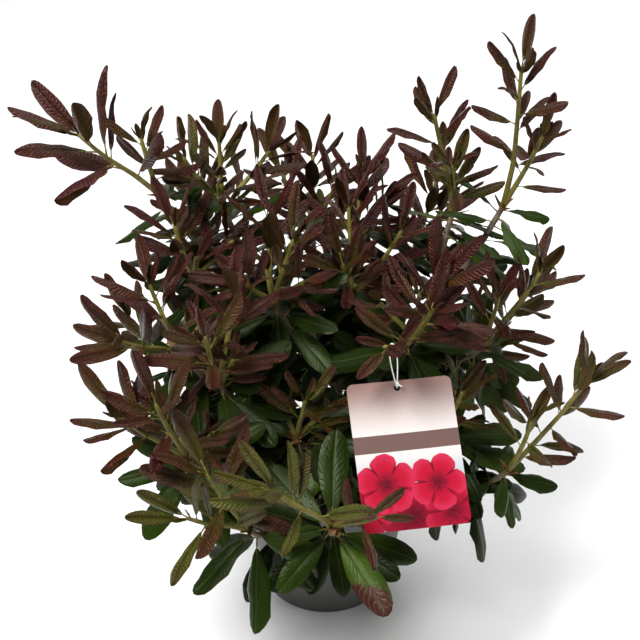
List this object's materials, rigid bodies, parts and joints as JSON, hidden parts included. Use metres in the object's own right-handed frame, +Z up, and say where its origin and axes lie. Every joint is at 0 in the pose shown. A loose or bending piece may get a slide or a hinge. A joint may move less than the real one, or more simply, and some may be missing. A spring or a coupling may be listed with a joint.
{
  "type": "potted rhododendron",
  "caption": "Evergreen flowering shrub in new growth, standing in a plain round nursery pot filled with soil, with a blank hang label looped over a shoot.",
  "frame": {"origin": "centre of the pot's flat underside", "axes": "+Z up along the pot's axis, the plant's front faces -Y, +X to the right seen from the front"},
  "size_m": [0.6056, 0.6403, 0.6587],
  "materials": {
    "pot": "moulded, matte, dark grey",
    "potting_soil": "crumbly peat and bark",
    "bark": "fine, flaking, brown",
    "foliage": "leathery leaves, green below and wine red on the new shoots",
    "hang_label": "printed card, smooth",
    "label_string": "thin white cord loop"
  },
  "bodies": {
    "root": {"bough_back_centre": "bark", "bough_back_left": "bark", "bough_back_low": "bark", "bough_back_right": "bark", "bough_crown_back": "bark", "bough_crown_centre": "bark", "bough_crown_left": "bark", "bough_crown_right": "bark", "bough_front_centre": "bark", "bough_front_inner": "bark", "bough_front_left": "bark", "bough_left_front": "bark", "bough_left_inner": "bark", "bough_left_low": "bark", "bough_left_outer": "bark", "bough_left_upper": "bark", "bough_right_front": "bark", "bough_right_inner": "bark", "bough_right_low": "bark", "bough_right_outer": "bark", "bough_top_right_inner": "bark", "bough_top_right_tall": "bark", "bough_upper_left_inner": "bark", "bough_upper_left_outer": "bark", "foliage_back_centre": "foliage", "foliage_back_left": "foliage", "foliage_back_low": "foliage", "foliage_back_right": "foliage", "foliage_crown_back": "foliage", "foliage_crown_centre": "foliage", "foliage_crown_left": "foliage", "foliage_crown_right": "foliage", "foliage_front_centre": "foliage", "foliage_front_inner": "foliage", "foliage_front_left": "foliage", "foliage_left_front": "foliage", "foliage_left_inner": "foliage", "foliage_left_low": "foliage", "foliage_left_outer": "foliage", "foliage_left_upper": "foliage", "foliage_right_front": "foliage", "foliage_right_inner": "foliage", "foliage_right_low": "foliage", "foliage_right_outer": "foliage", "foliage_top_right_inner": "foliage", "foliage_top_right_tall": "foliage", "foliage_upper_left_inner": "foliage", "foliage_upper_left_outer": "foliage", "hang_label": "hang_label", "label_string": "label_string", "pot": "pot", "potting_soil": "potting_soil", "trunk": "bark"}
  },
  "joints": []
}
